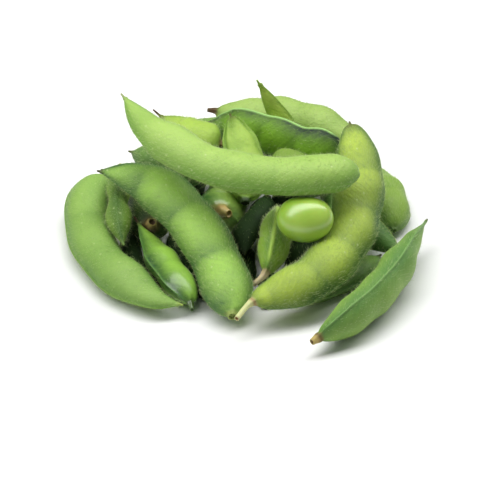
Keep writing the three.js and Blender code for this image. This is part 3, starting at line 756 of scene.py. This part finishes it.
grow_pod("pod_top", TOP_FINISH, (
    (27.3, -5, 22.4), (25.8, -5.9, 24.4), (19.5, -7.5, 25), (10, -8.5, 25), (0.5, -7, 25),
    (-9, -3.5, 25.5), (-17, 3, 26.5), (-23.5, 9, 28.3), (-30, 19, 31.3),
), face=(0, -0.12, 1), width=11.4, stalk=0.8, awn=1.6, stem=0.6, shoulder=0.09)


# ---- the small hairy pod in the middle ----
# A two-bean pod that stands nearly on end beside the loose bean, its pale seam to the front and
# its tan stalk pointing down. It is one of the hairiest.

SMALL_FINISH = pod_finish(
    "small_skin", paint(166, 204, 72), paint(96, 138, 58), paint(176, 210, 88),
    stalk=paint(220, 204, 160), ring=paint(156, 120, 80))

grow_pod("pod_middle_small", SMALL_FINISH, (
    (2.5, -21.5, 3), (5.5, -19.5, 5), (7, -15, 7), (8, -9, 8.5), (8.5, -3, 7.5), (8.5, 4.5, 5.5),
), face=(-1, 0, 0), beans=2, width=10.4, thickness=8.2, stalk=4.4, stem=0.85, awn=0.9,
    shoulder=0.45, ridge=2.2, hair=1.6)


# ---- the pods at the back ----
# A yellow-green pod with a dry awn, a pod on its edge with its seam on top, the rearmost pod,
# a thin olive one that stands up, and one whose stalk end is folded into pleats like a fan.

YOUNG_FINISH = pod_finish(
    "young_skin", paint(166, 196, 80), paint(120, 154, 52), paint(146, 180, 82))
# The pod on its edge has a near-black deep colour: painted shade at its edges and in its creases,
# below its pale top seam.
EDGE_SHADED_FINISH = pod_finish(
    "on_edge_shaded_skin", paint(136, 186, 48), paint(16, 40, 26), paint(158, 204, 114), specks=0.0)
REAR_FINISH = pod_finish(
    "rear_skin", paint(156, 184, 94), paint(112, 146, 58), paint(128, 162, 76), specks=0.2,
    stalk=DRY_BROWN)
# The upright pod's colours are lighter than its own: painted light on its front face, which is
# turned away from the lamp.
UPRIGHT_LIT_FINISH = pod_finish(
    "upright_lit_skin", paint(176, 200, 84), paint(140, 170, 62), paint(136, 168, 70), specks=0.0,
    awn=paint(150, 176, 90))
FOLDED_FINISH = pod_finish(
    "folded_skin", paint(156, 188, 76), paint(104, 144, 44), paint(116, 156, 58), specks=0.0,
    stalk=paint(56, 80, 36), ring=paint(40, 56, 28))

grow_pod("pod_back_left", YOUNG_FINISH, (
    (-5, 29.5, 11.5), (-8, 30, 12), (-12.5, 31.5, 12), (-14.5, 33.5, 12), (-16.5, 35, 12.5),
    (-19.5, 36, 14.5), (-22.5, 37, 17),
), face=(0, -0.3, 0.9), beans=1, width=10.2, thickness=9.2, stalk=0.8, stem=0.8, beak=0.42)

grow_pod("pod_back_on_edge", EDGE_SHADED_FINISH, (
    (26, 21.3, 15.2), (21.3, 22.9, 14.6), (16.5, 24.5, 14), (12, 27.5, 14), (7.5, 30, 14),
    (2.5, 32.5, 14), (-2.5, 35.5, 12.5), (-6, 38.5, 11.5), (-10, 40, 11.5),
), face=(-0.5, -0.9, 0), width=11.8, thickness=7.6, stalk=0.9, awn=0.9, ridge=1.7, crease_shading=1.0,
    hair=0.15)

grow_pod("pod_rearmost", REAR_FINISH, (
    (-9, 46, 12), (-7, 45.5, 12), (-4, 45, 11.5), (0, 45, 11), (5, 45, 11), (9, 45.5, 11),
    (14, 43.5, 11), (19, 41, 11), (24.5, 37.5, 10.5), (31.5, 32.5, 10),
), face=(0, -0.3, 0.9), width=10.1, thickness=8.4, shoulder=0.3, stem=0.65)

grow_pod("pod_back_upright", UPRIGHT_LIT_FINISH, (
    (12.5, 35.5, 0), (12.5, 35.5, 6), (11.5, 35.5, 10.5), (10, 35.5, 14), (8.5, 35.5, 17.5),
    (6, 35.5, 22.5), (3.5, 35.5, 27.5),
), face=(0, -1, 0.1), beans=2, width=5.6, thickness=3.6, stalk=0.8, beak=0.5, awn=1.4, hair=0.3)

grow_pod("pod_back_folded", FOLDED_FINISH, (
    (0.5, 6.5, 10.5), (0.4, 10, 12.2), (0.5, 14, 14.6), (0, 18.5, 17.8), (-1.6, 22.5, 21.5),
    (-3.3, 25.3, 24.8),
), face=(0.4, -0.8, 0.5), beans=2, width=11.4, thickness=6, stalk=0.9, awn=0.9, shoulder=0.3,
    beak=0.62, bluntness=1.8, hair=0.3, pleats=7)


# ---- the loose bean ----
# One shelled bean on the heap, with a smooth moist seed coat. It is egg-shaped, a little
# hollow on the side of its scar, where it was joined to the pod.

BEAN_LENGTH, BEAN_WIDTH, BEAN_THICKNESS = 14, 11.6, 10
BEAN_HOLLOW = 0.5
HOLLOW_SPREAD = 0.45
BEAN_RINGS, BEAN_SIDES = 72, 96
SCAR_LENGTH, SCAR_WIDTH = 1.9, 0.45


def bean_mesh(name, long, face):
    """A bean about its centre: along it by half its length x cos(turn), and across and out by
    half its width and thickness x sin(turn). A bell-shaped hollow is drawn in at its scar. It
    lies in the middle of its solid's box."""
    along = unit(np.array(long, float))
    out = np.array(face, float)
    out = unit(out - along * (along @ out))
    across = np.cross(along, out)
    turn = np.pi * (1 - np.arange(1, BEAN_RINGS + 1) / (BEAN_RINGS + 1))[:, None]
    angle = 2 * np.pi * np.arange(BEAN_SIDES)[None] / BEAN_SIDES
    hollow = BEAN_HOLLOW * np.exp(-(np.cos(turn) / HOLLOW_SPREAD) ** 2)
    length_way = BEAN_LENGTH / 2 * np.cos(turn) * np.ones_like(angle)
    width_way = (BEAN_WIDTH / 2 * np.sin(turn) * np.cos(angle)
                 + hollow * np.minimum(0, np.cos(angle)) ** 2)
    thick_way = BEAN_THICKNESS / 2 * np.sin(turn) * np.sin(angle)
    local = np.stack((length_way, width_way, thick_way), -1)
    low, high = (np.array(corner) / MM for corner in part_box(name))
    grid = local @ np.stack((along, across, out))
    middle = (low + high) / 2 - (grid.reshape(-1, 3).min(0) + grid.reshape(-1, 3).max(0)) / 2
    on_scar = (np.exp(-(length_way / SCAR_LENGTH) ** 4 - (thick_way / SCAR_WIDTH) ** 4)
               * (width_way < 0))
    poles = [-along * BEAN_LENGTH / 2 + middle, along * BEAN_LENGTH / 2 + middle]
    flat = np.stack((length_way, thick_way), -1)
    skin = np.clip(grid + middle, BOX_LOW, BOX_HIGH)
    return closed_mesh(name, skin, *poles, {"scar": on_scar}, flat)


bean_finish = bpy.data.materials.new("bean_coat")
bean_finish.use_nodes = True
coat_tree = bean_finish.node_tree
coat_mottle = coat_tree.nodes.new("ShaderNodeGroup")
coat_mottle.node_tree = mottling
coat_colour = blended(
    coat_tree, coat_mottle.outputs["Patches"], paint(142, 182, 52), paint(164, 198, 76))
scar = add(coat_tree, "ShaderNodeAttribute", attribute_name="scar").outputs["Fac"]
coat_colour = blended(coat_tree, scar, coat_colour, paint(150, 132, 78))
coat_bump = add(coat_tree, "ShaderNodeBump", {
    "Height": coat_mottle.outputs["Grain"], "Strength": 0.05, "Distance": 0.0001})
coat = coat_tree.nodes["Principled BSDF"]
coat_tree.links.new(coat_colour, coat.inputs["Base Color"])
coat_tree.links.new(coat_bump.outputs["Normal"], coat.inputs["Normal"])
for socket, value in {"Roughness": 0.3, "Specular IOR Level": 0.95, "Coat Weight": 0.2,
                      "Coat Roughness": 0.2, "Subsurface Weight": 0.2,
                      "Subsurface Scale": 0.002}.items():
    coat.inputs[socket].default_value = value
show(bean_mesh("loose_bean", (1, -0.1, 0.05), (0, -0.8, 0.55)),
     "loose_bean_coat", bean_finish, "bean_skin", "loose_bean")


# ---- the table, the light and the view ----
# A plain pale table under the heap, one long soft lamp over it and a little behind, and a dim
# pale room. The view looks down on the heap from the front.

TABLE_HALF = 3000
table_mesh = bpy.data.meshes.new("table")
corners = ((-1, -1), (1, -1), (1, 1), (-1, 1))
table_mesh.from_pydata(
    [(x * TABLE_HALF * MM, y * TABLE_HALF * MM, 0) for x, y in corners], [], [(0, 1, 2, 3)])
table = bpy.data.objects.new("table", table_mesh)
bpy.context.scene.collection.objects.link(table)
table_finish = bpy.data.materials.new("table_top")
table_finish.use_nodes = True
table_shader = table_finish.node_tree.nodes["Principled BSDF"]
table_shader.inputs["Base Color"].default_value = (0.9, 0.9, 0.89, 1)
table_shader.inputs["Roughness"].default_value = 0.7
table_mesh.materials.append(table_finish)


def soft_lamp(name, place, aim, size, power):
    """A lamp of size (across, deep) at a place, turned to its aim."""
    lamp = bpy.data.lights.new(name, "AREA")
    lamp.shape, lamp.energy = "RECTANGLE", power
    lamp.size, lamp.size_y = (side * MM for side in size)
    stand = bpy.data.objects.new(name, lamp)
    stand.location = Vector(place) * MM
    stand.rotation_euler = (Vector(aim) - Vector(place)).to_track_quat("-Z", "Y").to_euler()
    bpy.context.scene.collection.objects.link(stand)


soft_lamp("overhead_lamp", (-20, 40, 420), (0, 0, 0), (1600, 260), 6.0)
room = bpy.data.worlds.new("room")
room.use_nodes = True
room_light = room.node_tree.nodes["Background"]
room_light.inputs["Color"].default_value = (0.94, 0.97, 1.0, 1)
room_light.inputs["Strength"].default_value = 0.16
bpy.context.scene.world = room
bpy.context.scene.view_settings.view_transform = "Standard"

VIEW_TARGET = Vector((1.05, -4.5, 0.0))
VIEW_DISTANCE = 1500
VIEW_ELEVATION = np.radians(34)
VIEW_SPAN = 123.5         # what the view takes in across the target
back = Vector((0, -np.cos(VIEW_ELEVATION), np.sin(VIEW_ELEVATION)))
eye = bpy.data.cameras.new("view")
eye.sensor_width = 36
eye.lens = eye.sensor_width * VIEW_DISTANCE / VIEW_SPAN
eye.clip_start, eye.clip_end = 0.01, 20
camera = bpy.data.objects.new("view", eye)
camera.location = (VIEW_TARGET + back * VIEW_DISTANCE) * MM
camera.rotation_euler = (-back).to_track_quat("-Z", "Y").to_euler()
bpy.context.scene.collection.objects.link(camera)
bpy.context.scene.camera = camera
